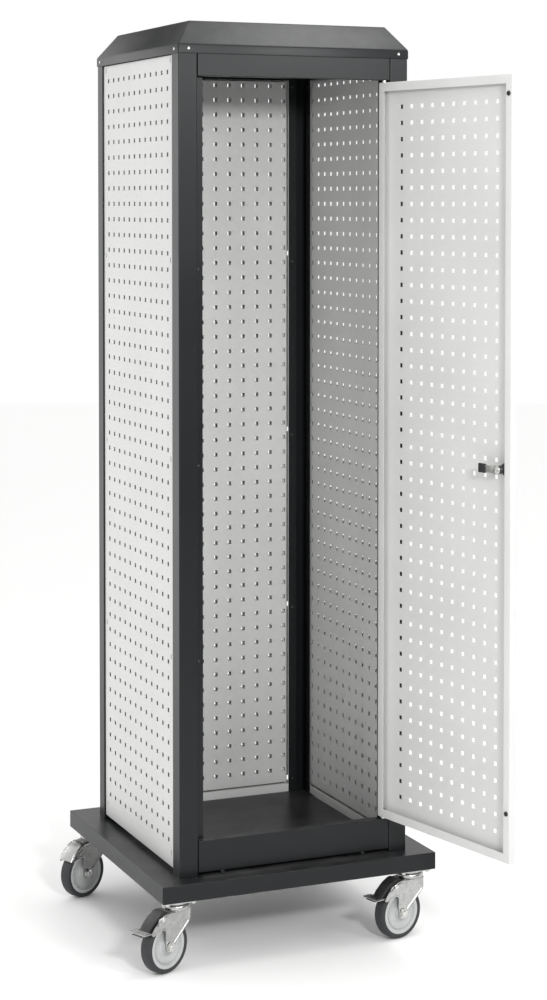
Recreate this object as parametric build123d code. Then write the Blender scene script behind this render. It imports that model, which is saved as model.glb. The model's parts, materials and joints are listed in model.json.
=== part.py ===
from build123d import *
from math import cos, radians, sin
import os

# A tall mobile tool tower in folded sheet steel: four folded posts carry three perforated
# trays, a hipped roof and a hinged perforated door, and stand on a base platform with four
# swivel casters. All sizes are in millimetres. X runs along the front, Y to the back, Z up
# from the floor. The tower is modelled about its own centre with the door shut, and the
# last section opens the door and moves everything so that the model stands centred on its
# own bounding box.

# ---------------------------------------------------------------- driving dimensions
TOWER_W = 580.0          # over the posts
TOWER_D = 575.0
SHEET = 1.5              # posts, roof, header, sill
SKIN = 1.2               # perforated trays and door
FIT_GAP = 0.1            # play between sheets that are bolted together

# perforation: square holes on a square grid
PITCH = 38.0
HOLE = 10.0
SIDE_COLS, SIDE_ROWS = 12, 48
DOOR_COLS, DOOR_ROWS = 10, 44
SLOT_W, SLOT_H = 4.0, 12.0

# heights
PLATFORM_BOTTOM = 165.0  # also the total height of a caster
PLATFORM_TOP = 205.0
SILL_BOTTOM, SILL_TOP = 214.0, 287.0
FLOOR_TOP = 215.0
DOOR_BOTTOM, DOOR_TOP = 293.0, 2043.0
HEADER_BOTTOM = 2049.0
POST_TOP = 2100.0
EAVE_BOTTOM, EAVE_TOP = 2100.6, 2121.0
ROOF_TOP = 2177.6
ROOF_INSET = 42.0        # slope run from the eave to the flat top

# posts: a folded hat on each side of the corner
POST_FACE = 45.5         # width seen from the front and back
POST_SIDE_FRONT = 46.0   # width seen from the side, front posts
POST_SIDE_REAR = 38.0
RECESS = 21.0            # from a post's face back to its flange
FLANGE = 20.5            # width of the flange that carries a tray
TRAY_DEPTH = 17.5
TRAY_LIP = 21.0
PANEL_SET_BACK = RECESS - TRAY_DEPTH

# platform
PLATFORM_W = 696.0
PLATFORM_D = 688.0
PLATFORM_SHIFT_Y = 11.0  # the tower stands a little forward on the platform
PLATFORM_SHEET = 2.0

# door
DOOR_W = 476.0
DOOR_OPEN_DEG = 101.9    # how far the stored door stands open
HINGE_IN_X = 6.3         # pin axis from the door's edge
HINGE_IN_Y = 6.1         # pin axis behind the door's face
PIN_R = 3.0
RUNNING = 0.07           # radial clearance of a pin that turns

# cam lock
LOCK_IN_X = 35.0         # lock axis from the door's free edge
LOCK_Z = 1169.0
HOUSING_R = 9.5
SPINDLE_R = 5.0
CAM_LENGTH = 58.0

# casters
WHEEL_R = 62.5
WHEEL_W = 32.0
RIM_R = 51.0
TRAIL = 38.0             # wheel axle behind the swivel axis
CASTER_INSET_X = 48.0    # swivel axis from the platform's edge
CASTER_INSET_Y = 45.0
AXLE_R = 6.0
FORK_GAP = 37.0
FORK_SHEET = 3.0
CROWN_Z = 144.0
CASTER_PLATE = 80.0
ROLL_DEG = {"front_left": 24.0, "front_right": 15.0, "rear_left": 24.0, "rear_right": 19.0}
BRAKED = ("front_left", "front_right")
BRAKE_PIVOT = (-60.0, 131.0)  # along the trail, height

# ---------------------------------------------------------------- worked out from those
HALF_W = TOWER_W / 2
HALF_D = TOWER_D / 2
FRONT = -HALF_D
DOOR_HINGE = (DOOR_W / 2 - HINGE_IN_X, FRONT + HINGE_IN_Y)
LOCK_X = -DOOR_W / 2 + LOCK_IN_X
FLANGE_FRONT_Y = FRONT + RECESS
PANEL_TOP = POST_TOP - 1.0
PANEL_H = PANEL_TOP - FLOOR_TOP
SIDE_TRAY_W = TOWER_D - POST_SIDE_FRONT - POST_SIDE_REAR - 1.0
SIDE_TRAY_Y = (POST_SIDE_FRONT - POST_SIDE_REAR) / 2
BACK_TRAY_W = TOWER_W - 2 * POST_FACE - 1.0
FIRST_ROW_UP = 60.0      # lowest row of holes above a side tray's bottom edge
SLOT_OUT = PITCH / 2     # slots stand half a pitch outside the grid
SLOT_STEP = 460.0
SLOT_LOW = FIRST_ROW_UP - 27.0
SCREW_HEIGHTS = [FLOOR_TOP + SLOT_LOW + 453.0 * k for k in range(5)]
SWIVELS = {
    corner: (
        (1 if "right" in corner else -1) * (PLATFORM_W / 2 - CASTER_INSET_X),
        PLATFORM_SHIFT_Y + (1 if "rear" in corner else -1) * (PLATFORM_D / 2 - CASTER_INSET_Y),
    )
    for corner in ROLL_DEG
}


# ---------------------------------------------------------------- small helpers
def block(x0, x1, y0, y1, z0, z1):
    """Box between two corners."""
    centre = ((x0 + x1) / 2, (y0 + y1) / 2, (z0 + z1) / 2)
    return Pos(*centre) * Box(abs(x1 - x0), abs(y1 - y0), abs(z1 - z0))


def rod_z(x, y, z0, z1, radius):
    """Round bar standing along Z."""
    return Pos(x, y, (z0 + z1) / 2) * Cylinder(radius, z1 - z0)


def rod_y(x, z, y0, y1, radius):
    """Round bar lying along Y."""
    return Pos(x, (y0 + y1) / 2, z) * Rot(90, 0, 0) * Cylinder(radius, y1 - y0)


def rod_x(y, z, x0, x1, radius):
    """Round bar lying along X."""
    return Pos((x0 + x1) / 2, y, z) * Rot(0, 90, 0) * Cylinder(radius, x1 - x0)


def hex_z(x, y, z0, z1, flats):
    """Hexagonal prism standing along Z, sized across its flats."""
    prism = extrude(RegularPolygon(flats / 2, 6, major_radius=False), z1 - z0)
    return Pos(x, y, z0) * prism


def hex_y(x, z, y0, y1, flats):
    """Hexagonal prism lying along Y."""
    return Pos(x, y0, z) * Rot(-90, 0, 0) * hex_z(0, 0, 0, y1 - y0, flats)


def rounded(solid, radius, axis, *places):
    """Round the edges parallel to an axis that pass nearest to the given points."""
    edges = solid.edges().filter_by(axis)
    chosen = [min(edges, key=lambda e: (e.center() - Vector(*p)).length) for p in places]
    return fillet(chosen, radius)


def group(solids):
    """Several separate solids in one node."""
    return Compound(children=[s for s in solids])


def wire_xz(x0, x1, z0, z1):
    """Closed rectangle in the XZ plane."""
    return Wire.make_polygon([(x0, 0, z0), (x1, 0, z0), (x1, 0, z1), (x0, 0, z1)], close=True)


# ---------------------------------------------------------------- perforated trays
def tray(width, height, cols, rows, first_row, slot_heights=(), bores=()):
    """Folded tray: its perforated face lies on Y = 0, its lips turn in at Y = TRAY_DEPTH.

    It is centred on X and stands on Z = 0. Slots stand beside the grid at the given
    heights, and bores are round holes in the face, each (x, z, radius).
    """
    half = width / 2
    grid_left = -(cols - 1) * PITCH / 2
    openings = []
    for col in range(cols):
        x = grid_left + col * PITCH
        for row in range(rows):
            z = first_row + row * PITCH
            openings.append(wire_xz(x - HOLE / 2, x + HOLE / 2, z - HOLE / 2, z + HOLE / 2))
    for side in (-1, 1):
        x = side * (SLOT_OUT - grid_left)
        for z in slot_heights:
            openings.append(wire_xz(x - SLOT_W / 2, x + SLOT_W / 2, z - SLOT_H / 2, z + SLOT_H / 2))
    for x, z, radius in bores:
        openings.append(Wire([Edge.make_circle(radius, Plane((x, 0, z), z_dir=(0, 1, 0)))]))
    face = Face(wire_xz(-half, half, 0, height), openings)
    sheet = Solid.extrude(face, Vector(0, SKIN, 0))
    inner = half - SKIN
    walls = block(-half, half, SKIN, TRAY_DEPTH, 0, height)
    walls -= block(-inner, inner, 0, TRAY_DEPTH - SKIN, SKIN, height - SKIN)
    walls -= block(-half + TRAY_LIP, half - TRAY_LIP, 0, TRAY_DEPTH + 1, TRAY_LIP, height - TRAY_LIP)
    return walls + sheet


def side_tray():
    slots = [SLOT_LOW + SLOT_STEP * k for k in range(5)]
    return tray(SIDE_TRAY_W, PANEL_H, SIDE_COLS, SIDE_ROWS, FIRST_ROW_UP, slots)


def side_panel(side):
    """Left (-1) or right (1) panel, its face looking outwards."""
    x = side * (HALF_W - PANEL_SET_BACK)
    return Pos(x, SIDE_TRAY_Y, FLOOR_TOP) * Rot(0, 0, side * 90) * side_tray()


def back_panel():
    slots = [SLOT_LOW + SLOT_STEP * k for k in range(5)]
    panel = tray(BACK_TRAY_W, PANEL_H, SIDE_COLS, SIDE_ROWS, FIRST_ROW_UP, slots)
    return Pos(0, HALF_D - PANEL_SET_BACK, FLOOR_TOP) * Rot(0, 0, 180) * panel


# ---------------------------------------------------------------- tower frame
def post(side_x, side_y):
    """Corner post; side_x and side_y say which corner it stands at."""
    face = POST_FACE
    side = POST_SIDE_REAR if side_y > 0 else POST_SIDE_FRONT
    t = SHEET
    outline = [
        (face + FLANGE, RECESS), (face, RECESS), (face, 0), (0, 0), (0, side), (RECESS, side),
        (RECESS, side + FLANGE), (RECESS + t, side + FLANGE), (RECESS + t, side - t),
        (t, side - t), (t, t), (face - t, t), (face - t, RECESS + t), (face + FLANGE, RECESS + t),
    ]
    height = POST_TOP - PLATFORM_TOP
    section = extrude(make_face(Polyline(*outline, close=True)), height)
    middle = height / 2
    section = rounded(section, 2.5, Axis.Z, (0, 0, middle), (face, 0, middle), (0, side, middle))
    section = rounded(section, 1.0, Axis.Z, (t, t, middle), (face - t, t, middle))
    if side_x > 0:
        section = mirror(section, Plane.YZ)
    if side_y > 0:
        section = mirror(section, Plane.XZ)
    return Pos(side_x * HALF_W, side_y * HALF_D, PLATFORM_TOP) * section


def header():
    """Folded channel above the door; its lower flange carries the upper hinge pin."""
    half = HALF_W - POST_FACE - 1.5
    back = FLANGE_FRONT_Y - 0.5
    body = block(-half, half, FRONT, back, HEADER_BOTTOM, POST_TOP)
    body -= block(-half - 1, half + 1, FRONT + SHEET, back - SHEET, HEADER_BOTTOM + SHEET, POST_TOP - SHEET)
    body -= block(-half - 1, half + 1, back - SHEET - 1, back + 1, HEADER_BOTTOM + 14, POST_TOP - 14)
    body = rounded(body, 1.2, Axis.X, (0, FRONT, HEADER_BOTTOM))
    return body - rod_z(*DOOR_HINGE, HEADER_BOTTOM - 1, HEADER_BOTTOM + 5, PIN_R)


def sill():
    """Raised front lip under the door; its top flange carries the lower hinge pin."""
    half = HALF_W - POST_FACE - 1.5
    back = FLANGE_FRONT_Y - 0.5
    body = block(-half, half, FRONT, back, SILL_BOTTOM, SILL_TOP)
    body -= block(-half - 1, half + 1, FRONT + SHEET, back - SHEET, SILL_BOTTOM - 1, SILL_TOP - SHEET)
    body -= block(-half - 1, half + 1, back - SHEET - 1, back + 1, SILL_BOTTOM - 1, SILL_TOP - 24)
    body = rounded(body, 1.2, Axis.X, (0, FRONT, SILL_TOP))
    return body - rod_z(*DOOR_HINGE, SILL_TOP - 5, SILL_TOP + 1, PIN_R)


def floor_panel():
    """Inner floor: a flat sheet with folded-down edges that stand on the platform."""
    half_x = HALF_W - RECESS - SHEET - 0.5
    y0 = FLANGE_FRONT_Y + SHEET + 0.5
    y1 = HALF_D - RECESS - SHEET - 0.5
    body = block(-half_x, half_x, y0, y1, PLATFORM_TOP, FLOOR_TOP)
    return body - block(
        -half_x + SHEET, half_x - SHEET, y0 + SHEET, y1 - SHEET, PLATFORM_TOP - 1, FLOOR_TOP - SHEET
    )


def upper_rails():
    """Three stiffeners behind the trays, tied to the posts' flanges under the roof."""
    z0, z1 = POST_TOP - 24, POST_TOP - 1
    x_in = HALF_W - RECESS - SHEET - FIT_GAP
    y_in = HALF_D - RECESS - SHEET - FIT_GAP
    y0 = FRONT + POST_SIDE_FRONT + 1
    y1 = HALF_D - POST_SIDE_REAR - 1
    x_end = HALF_W - POST_FACE - 1
    rails = [block(s * x_in, s * (x_in - SHEET), y0, y1, z0, z1) for s in (-1, 1)]
    rails.append(block(-x_end, x_end, y_in - SHEET, y_in, z0, z1))
    return group(rails)


def top_plate():
    """Flat plate on the posts with upturned edges that the roof is screwed to."""
    x, y = HALF_W + 0.3, HALF_D + 0.3
    body = block(-x, x, -y, y, POST_TOP, EAVE_TOP - 3)
    return body - block(-x + SHEET, x - SHEET, -y + SHEET, y - SHEET, POST_TOP + SHEET, EAVE_TOP)


def hipped(grow, drop, top_inset):
    """Solid hipped block with a vertical band; grow widens it, drop lowers it."""
    half_x, half_y = HALF_W + grow, HALF_D + grow
    band = block(-half_x, half_x, -half_y, half_y, EAVE_BOTTOM - 1, EAVE_TOP - drop)
    low = Pos(0, 0, EAVE_TOP - drop) * Rectangle(2 * half_x, 2 * half_y)
    high = Pos(0, 0, ROOF_TOP - drop) * Rectangle(2 * (half_x - top_inset), 2 * (half_y - top_inset))
    return band + loft([low, high])


def roof_cap():
    """Hipped sheet roof with a vertical band round the eave."""
    shell = hipped(2.0, 0, ROOF_INSET) - hipped(0.5, SHEET, ROOF_INSET)
    return shell & block(-HALF_W - 5, HALF_W + 5, -HALF_D - 5, HALF_D + 5, EAVE_BOTTOM, ROOF_TOP + 1)


def roof_screws():
    """Two pan-head screws on each side of the eave band."""
    z = (EAVE_BOTTOM + EAVE_TOP) / 2
    band_x, band_y = HALF_W + 2.0, HALF_D + 2.0
    heads = []
    for side in (-1, 1):
        for end in (-1, 1):
            x = end * (HALF_W - 24)
            y = end * (HALF_D - 24)
            heads.append(rod_y(x, z, min(side * band_y, side * (band_y + 1.8)),
                               max(side * band_y, side * (band_y + 1.8)), 3.6))
            heads.append(rod_x(y, z, min(side * band_x, side * (band_x + 1.8)),
                               max(side * band_x, side * (band_x + 1.8)), 3.6))
    return group(heads)


def panel_screws():
    """Low screw heads that hold the trays, on the posts' flanges."""
    high, radius = 1.2, 3.2
    x_front = HALF_W - POST_FACE - FLANGE / 2
    y_rear = HALF_D - RECESS - SHEET
    x_side = HALF_W - RECESS - SHEET
    heads = []
    for z in SCREW_HEIGHTS:
        for side in (-1, 1):
            x = side * x_front
            if z < HEADER_BOTTOM - 10:
                heads.append(rod_y(x, z, FLANGE_FRONT_Y - high, FLANGE_FRONT_Y, radius))
            heads.append(rod_y(x, z, y_rear - high, y_rear, radius))
            for y in (FRONT + POST_SIDE_FRONT + FLANGE / 2, HALF_D - POST_SIDE_REAR - FLANGE / 2):
                inner = side * (x_side - high)
                outer = side * x_side
                heads.append(rod_x(y, z, min(inner, outer), max(inner, outer), radius))
    return group(heads)


# ---------------------------------------------------------------- platform
def platform_tray():
    """Base platform: a flat top with deep folded skirts."""
    x, y = PLATFORM_W / 2, PLATFORM_D / 2
    t = PLATFORM_SHEET
    body = block(-x, x, -y, y, PLATFORM_BOTTOM, PLATFORM_TOP)
    corners = [(sx * x, sy * y, (PLATFORM_BOTTOM + PLATFORM_TOP) / 2) for sx in (-1, 1) for sy in (-1, 1)]
    body = rounded(body, 3.0, Axis.Z, *corners)
    body = fillet(body.faces().sort_by(Axis.Z)[-1].edges(), 2.0)
    body -= block(-x + t, x - t, -y + t, y - t, PLATFORM_BOTTOM - 1, PLATFORM_TOP - t)
    return Pos(0, PLATFORM_SHIFT_Y, 0) * body


def platform_ribs():
    """Two channels that carry the casters and two that tie them together."""
    t = PLATFORM_SHEET
    top = PLATFORM_TOP - t - FIT_GAP
    half_x = PLATFORM_W / 2 - t - 1
    half_y = PLATFORM_D / 2 - CASTER_INSET_Y
    reach = 41.0
    ribs = []
    for side in (-1, 1):
        y = PLATFORM_SHIFT_Y + side * half_y
        rib = block(-half_x, half_x, y - reach, y + reach, PLATFORM_BOTTOM, top)
        ribs.append(rib - block(
            -half_x - 1, half_x + 1, y - reach + t, y + reach - t, PLATFORM_BOTTOM + t, top + 1))
    inner = half_y - reach - FIT_GAP
    for x in (-120.0, 120.0):
        rib = block(x - 25, x + 25, PLATFORM_SHIFT_Y - inner, PLATFORM_SHIFT_Y + inner, top - 25, top)
        ribs.append(rib - block(
            x - 25 + t, x + 25 - t, PLATFORM_SHIFT_Y - inner - 1, PLATFORM_SHIFT_Y + inner + 1,
            top - 25 + t, top + 1))
    return group(ribs)


def platform_bolts():
    """Bolts that tie the tower down, in the gap under the sill and behind."""
    bolts = []
    for x in (-180.0, 180.0):
        for y in (FRONT + 10, HALF_D - 9):
            washer = rod_z(x, y, PLATFORM_TOP, PLATFORM_TOP + 1.5, 7.5)
            bolts.append(washer + hex_z(x, y, PLATFORM_TOP + 1.5, PLATFORM_TOP + 7, 11))
    return group(bolts)


# ---------------------------------------------------------------- door, modelled shut
def door_panel():
    """Perforated door tray with holes for the hinge pins and the lock."""
    first_row = (DOOR_TOP - DOOR_BOTTOM - (DOOR_ROWS - 1) * PITCH) / 2
    lock = (LOCK_X, LOCK_Z - DOOR_BOTTOM, HOUSING_R)
    panel = tray(DOOR_W, DOOR_TOP - DOOR_BOTTOM, DOOR_COLS, DOOR_ROWS, first_row, bores=[lock])
    panel = Pos(0, FRONT, DOOR_BOTTOM) * panel
    for z in (DOOR_BOTTOM, DOOR_TOP):
        panel -= rod_z(*DOOR_HINGE, z - 3, z + 3, PIN_R + RUNNING)
    return panel


def door_buffers():
    """Rubber stops on the inner lip of the free edge."""
    x = -DOOR_W / 2 + TRAY_LIP / 2
    y = FRONT + TRAY_DEPTH
    return group([rod_y(x, z, y, y + 3.2, 5.5) for z in (405.0, 2000.0)])


def hinge_bushes():
    """Plain bearing blocks inside the door's corners."""
    x, y = DOOR_HINGE
    half = HINGE_IN_X - SKIN - 0.1
    blocks = []
    for z0, z1 in ((DOOR_BOTTOM + SKIN, DOOR_BOTTOM + 16), (DOOR_TOP - 16, DOOR_TOP - SKIN)):
        bush = block(x - half, x + half, FRONT + SKIN, y + half, z0, z1)
        blocks.append(bush - rod_z(x, y, z0 - 1, z1 + 1, PIN_R + RUNNING))
    return group(blocks)


def hinge_pins():
    """Fixed collared pins in the header and the sill."""
    x, y = DOOR_HINGE
    top = rod_z(x, y, DOOR_TOP - 13, HEADER_BOTTOM + 4, PIN_R) + rod_z(x, y, DOOR_TOP + 2.1, HEADER_BOTTOM, 5.5)
    low = rod_z(x, y, SILL_TOP - 4, DOOR_BOTTOM + 13, PIN_R) + rod_z(x, y, SILL_TOP, DOOR_BOTTOM - 2.1, 5.5)
    return group([top, low])


def hinge_washers():
    """Thrust washers between the pin collars and the door."""
    x, y = DOOR_HINGE
    washers = []
    for z0 in (DOOR_BOTTOM - 1.9, DOOR_TOP + 0.3):
        washers.append(rod_z(x, y, z0, z0 + 1.6, 5.5) - rod_z(x, y, z0 - 1, z0 + 3, PIN_R))
    return group(washers)


LOCK_FACE = FRONT - 3.0                    # front of the housing's flange
HOUSING_END = FRONT + 26.2
CAM_FRONT = HOUSING_END + 0.3
CAM_T = 3.0


def lock_housing():
    flange = rod_y(LOCK_X, LOCK_Z, LOCK_FACE, FRONT, 14.0)
    body = flange + rod_y(LOCK_X, LOCK_Z, LOCK_FACE, HOUSING_END, HOUSING_R)
    body = fillet(body.faces().sort_by(Axis.Y)[0].edges(), 1.2)
    return body - rod_y(LOCK_X, LOCK_Z, LOCK_FACE - 1, HOUSING_END + 1, SPINDLE_R + RUNNING)


def lock_nut():
    nut = hex_y(LOCK_X, LOCK_Z, FRONT + SKIN, FRONT + SKIN + 5, 25)
    return nut - rod_y(LOCK_X, LOCK_Z, FRONT, FRONT + 10, HOUSING_R)


def lock_knob():
    """Turning knob with a wing grip, on its spindle."""
    y = LOCK_FACE - 0.3
    knob = rod_y(LOCK_X, LOCK_Z, y - 5, y, 12.5)
    wing = block(LOCK_X - 11, LOCK_X + 11, y - 14, y - 5, LOCK_Z - 3.5, LOCK_Z + 3.5)
    wing = fillet(wing.edges().filter_by(Axis.Y), 3.0)
    knob = knob + wing
    return knob + rod_y(LOCK_X, LOCK_Z, y, CAM_FRONT + CAM_T, SPINDLE_R)


def lock_cam():
    """Flat tongue, stored pointing back towards the hinge."""
    end = LOCK_X + CAM_LENGTH
    tongue = block(LOCK_X, end, CAM_FRONT, CAM_FRONT + CAM_T, LOCK_Z - 8, LOCK_Z + 8)
    tongue += rod_y(LOCK_X, LOCK_Z, CAM_FRONT, CAM_FRONT + CAM_T, 10)
    return tongue - rod_y(LOCK_X, LOCK_Z, CAM_FRONT - 1, CAM_FRONT + CAM_T + 1, SPINDLE_R)


def cam_screw():
    y = CAM_FRONT + CAM_T
    return hex_y(LOCK_X, LOCK_Z, y, y + 4, 13)


def cam_sleeve():
    """Plastic sleeve over the tip of the tongue."""
    end = LOCK_X + CAM_LENGTH
    sleeve = block(end - 20, end + 2, CAM_FRONT - 2, CAM_FRONT + CAM_T + 2, LOCK_Z - 10.5, LOCK_Z + 10.5)
    sleeve = fillet(sleeve.edges().filter_by(Axis.X), 2.0)
    return sleeve - block(end - 25, end, CAM_FRONT, CAM_FRONT + CAM_T, LOCK_Z - 8, LOCK_Z + 8)


# ---------------------------------------------------------------- casters
# Modelled with the swivel axis on Z and the wheel trailing towards -X, then turned.
def caster_plate():
    """Square mounting plate with the fixed upper race under it."""
    half = CASTER_PLATE / 2
    plate = block(-half, half, -half, half, PLATFORM_BOTTOM - 4, PLATFORM_BOTTOM)
    plate = fillet(plate.edges().filter_by(Axis.Z), 8.0)
    race = rod_z(0, 0, CROWN_Z + 10.4, PLATFORM_BOTTOM - 4, 28)
    return plate + race - rod_z(0, 0, 0, PLATFORM_BOTTOM + 1, AXLE_R)


def caster_bolts_local():
    """Four hex heads under one mounting plate."""
    z = PLATFORM_BOTTOM - 4
    place = CASTER_PLATE / 2 - 8.5
    return [hex_z(x, y, z - 4.5, z, 9) for x in (-place, place) for y in (-place, place)]


def kingpin():
    """Swivel pin with its nut under the fork's crown."""
    pin = rod_z(0, 0, 129.5, PLATFORM_BOTTOM, AXLE_R)
    return pin + hex_z(0, 0, 131, CROWN_Z - FORK_SHEET - 0.3, 19)


# Outer line of the fork's crown over the wheel, from the crown back to its tip (x, z)
FORK_ARC = [(-26.0, CROWN_Z), (-52.0, 140.5), (-70.3, 131.8), (-85.4, 119.0), (-96.2, 103.2)]
FORK_BOSS = 14.0
FORK_FRONT = 26.0


def over_wheel(points, inwards):
    """Points moved straight towards the wheel axle."""
    moved = []
    for x, z in points:
        run, rise = x + TRAIL, z - WHEEL_R
        share = 1 - inwards / (run**2 + rise**2) ** 0.5
        moved.append((-TRAIL + run * share, WHEEL_R + rise * share))
    return moved


def fork(braked):
    """Pressed fork: two legs and a crown that curves back over the wheel.

    A braked fork is open behind the crown, where the pedal lies between its cheeks.
    """
    outer, inner = FORK_GAP / 2 + FORK_SHEET, FORK_GAP / 2
    fore, back = -TRAIL + FORK_BOSS, -TRAIL - FORK_BOSS
    cheek = make_face(Polyline(
        (fore, WHEEL_R), (fore, 68), (FORK_FRONT, 111), (FORK_FRONT, CROWN_Z), *FORK_ARC,
        (-91, 99), (-58, 108), (back, 101), (back, WHEEL_R), close=True))
    cheek += Pos(-TRAIL, WHEEL_R) * Circle(FORK_BOSS)
    body = Pos(0, outer, 0) * Rot(90, 0, 0) * extrude(cheek, 2 * outer)
    hollow = make_face(Polyline(
        (FORK_FRONT + 1, 0), (FORK_FRONT + 1, CROWN_Z - FORK_SHEET), (-26, CROWN_Z - FORK_SHEET),
        *over_wheel(FORK_ARC[1:], FORK_SHEET), (-110, 90), (-110, 0), close=True))
    body -= Pos(0, inner, 0) * Rot(90, 0, 0) * extrude(hollow, 2 * inner)
    if braked:
        body -= block(-110, -30, -inner, inner, 0, CROWN_Z + 5)
        body -= rod_y(*BRAKE_PIVOT, -outer - 1, outer + 1, PIN_R)
    body -= rod_y(-TRAIL, WHEEL_R, -outer - 1, outer + 1, AXLE_R)
    housing = rod_z(0, 0, CROWN_Z, CROWN_Z + 10, 33)
    housing = fillet(housing.faces().sort_by(Axis.Z)[-1].edges(), 4.0)
    body += housing
    return body - rod_z(0, 0, 100, PLATFORM_BOTTOM, AXLE_R + RUNNING)


def axle():
    """Axle bolt with a hex head and a nut outside the legs."""
    outer = FORK_GAP / 2 + FORK_SHEET
    bolt = rod_y(-TRAIL, WHEEL_R, -outer - 8.5, outer + 6, AXLE_R)
    head = hex_y(-TRAIL, WHEEL_R, outer, outer + 6.5, 18)
    nut = hex_y(-TRAIL, WHEEL_R, -outer - 6.5, -outer, 18)
    return bolt + head + nut


def turned(points):
    """Solid of revolution about the wheel axle from (radius, width) points."""
    profile = make_face(Polyline(*[(r, w) for r, w in points], close=True))
    ring = revolve(Plane.XY * profile, Axis.Y, 360)
    return Pos(-TRAIL, 0, WHEEL_R) * ring


def rim():
    """Wheel centre: a long hub, a dished web and a stout outer ring."""
    bore, hub, hub_half = AXLE_R + RUNNING, 15.0, FORK_GAP / 2 - 0.5
    web, ring_in, ring_half = 5.0, 43.0, 14.0
    return turned([
        (bore, -hub_half), (hub, -hub_half), (hub + 3, -web), (ring_in - 4, -web), (ring_in, -ring_half),
        (RIM_R, -ring_half), (RIM_R, ring_half), (ring_in, ring_half), (ring_in - 4, web),
        (hub + 3, web), (hub, hub_half), (bore, hub_half),
    ])


def tyre():
    half = WHEEL_W / 2
    body = turned([
        (RIM_R, -14), (RIM_R + 2, -half), (WHEEL_R, -half), (WHEEL_R, half), (RIM_R + 2, half), (RIM_R, 14),
    ])
    crown = [e for e in body.edges() if e.geom_type == GeomType.CIRCLE and abs(e.radius - WHEEL_R) < 0.01]
    return fillet(crown, 7.0)


PEDAL_HALF = 15.5                          # half the width of the pedal's cover


def brake_pedal():
    """Steel step behind the fork, with a tongue into the cover."""
    step = block(-125, -101.5, -26, 26, 108, 111)
    step = rounded(step, 4.0, Axis.Z, (-125, -26, 109.5), (-125, 26, 109.5))
    return step + block(-102, -93, -8, 8, 108, 111)


def brake_pad():
    """Moulded cover that lies between the fork's cheeks and turns on the pivot."""
    cover = make_face(Polyline(
        (-40, 141), (-46, 147), (-56, 146.5), (-74, 137.5), (-90, 124), (-100, 112.5),
        (-100, 108), (-124, 108), (-124, 104), (-104, 104), (-95, 106.5), (-82, 119),
        (-66, 131), (-50, 138), close=True))
    cover += Pos(*BRAKE_PIVOT) * Circle(6.0)
    body = Pos(0, PEDAL_HALF, 0) * Rot(90, 0, 0) * extrude(cover, 2 * PEDAL_HALF)
    body -= rod_y(*BRAKE_PIVOT, -PEDAL_HALF - 1, PEDAL_HALF + 1, PIN_R + RUNNING)
    return body - brake_pedal()


def brake_pivot():
    x, z = BRAKE_PIVOT
    outer = FORK_GAP / 2 + FORK_SHEET
    return rod_y(x, z, -outer - 2, outer + 2, PIN_R)


def caster(corner):
    """All nodes of one caster, turned and placed under its corner."""
    placed = Pos(*SWIVELS[corner], 0) * Rot(0, 0, ROLL_DEG[corner])
    fixed = Pos(*SWIVELS[corner], 0)
    nodes = {
        f"caster_plate_{corner}": fixed * caster_plate(),
        f"kingpin_{corner}": fixed * kingpin(),
        f"axle_{corner}": placed * axle(),
        f"rim_{corner}": placed * rim(),
        f"tyre_{corner}": placed * tyre(),
    }
    if corner in BRAKED:
        nodes[f"brake_pedal_{corner}"] = placed * brake_pedal()
        nodes[f"brake_pad_{corner}"] = placed * brake_pad()
        nodes[f"brake_pivot_{corner}"] = placed * brake_pivot()
    nodes[f"fork_{corner}"] = placed * fork(corner in BRAKED)
    return nodes


# ---------------------------------------------------------------- assembly
def opened(shape):
    """Turn a door part about the hinge pins to its stored angle."""
    axis = Axis((*DOOR_HINGE, 0), (0, 0, 1))
    return shape.rotate(axis, DOOR_OPEN_DEG)


parts = {
    "platform_tray": platform_tray(),
    "platform_ribs": platform_ribs(),
    "platform_bolts": platform_bolts(),
    "floor_panel": floor_panel(),
    "post_front_left": post(-1, -1),
    "post_front_right": post(1, -1),
    "post_rear_left": post(-1, 1),
    "post_rear_right": post(1, 1),
    "side_panel_left": side_panel(-1),
    "side_panel_right": side_panel(1),
    "back_panel": back_panel(),
    "header": header(),
    "sill": sill(),
    "upper_rails": upper_rails(),
    "top_plate": top_plate(),
    "roof_cap": roof_cap(),
    "roof_screws": roof_screws(),
    "panel_screws": panel_screws(),
    "hinge_pins": hinge_pins(),
    "hinge_washers": hinge_washers(),
    "door_panel": opened(door_panel()),
    "door_buffers": opened(door_buffers()),
    "hinge_bushes": opened(hinge_bushes()),
    "lock_housing": opened(lock_housing()),
    "lock_nut": opened(lock_nut()),
    "lock_knob": opened(lock_knob()),
    "lock_cam": opened(lock_cam()),
    "cam_screw": opened(cam_screw()),
    "cam_sleeve": opened(cam_sleeve()),
}
for corner_name in ROLL_DEG:
    parts.update(caster(corner_name))
parts["caster_bolts"] = group([
    Pos(*SWIVELS[corner_name], 0) * bolt for corner_name in ROLL_DEG for bolt in caster_bolts_local()
])

# the stored origin is the middle of the footprint, on the floor
boxes = [shape.bounding_box() for shape in parts.values()]
ORIGIN_X = (min(b.min.X for b in boxes) + max(b.max.X for b in boxes)) / 2
ORIGIN_Y = (min(b.min.Y for b in boxes) + max(b.max.Y for b in boxes)) / 2

os.makedirs("parts", exist_ok=True)
for node, shape in parts.items():
    export_step(Pos(-ORIGIN_X, -ORIGIN_Y, 0) * shape, f"parts/{node}.step")
print(len(parts), "nodes, tower centre at", round(-ORIGIN_X, 3), round(-ORIGIN_Y, 3))
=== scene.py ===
import json
from math import pi, radians

import bmesh
import bpy
from bpy.props import FloatProperty, FloatVectorProperty, IntProperty, PointerProperty
from bpy.types import Operator, Panel, PropertyGroup
from mathutils import Matrix, Vector


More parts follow.
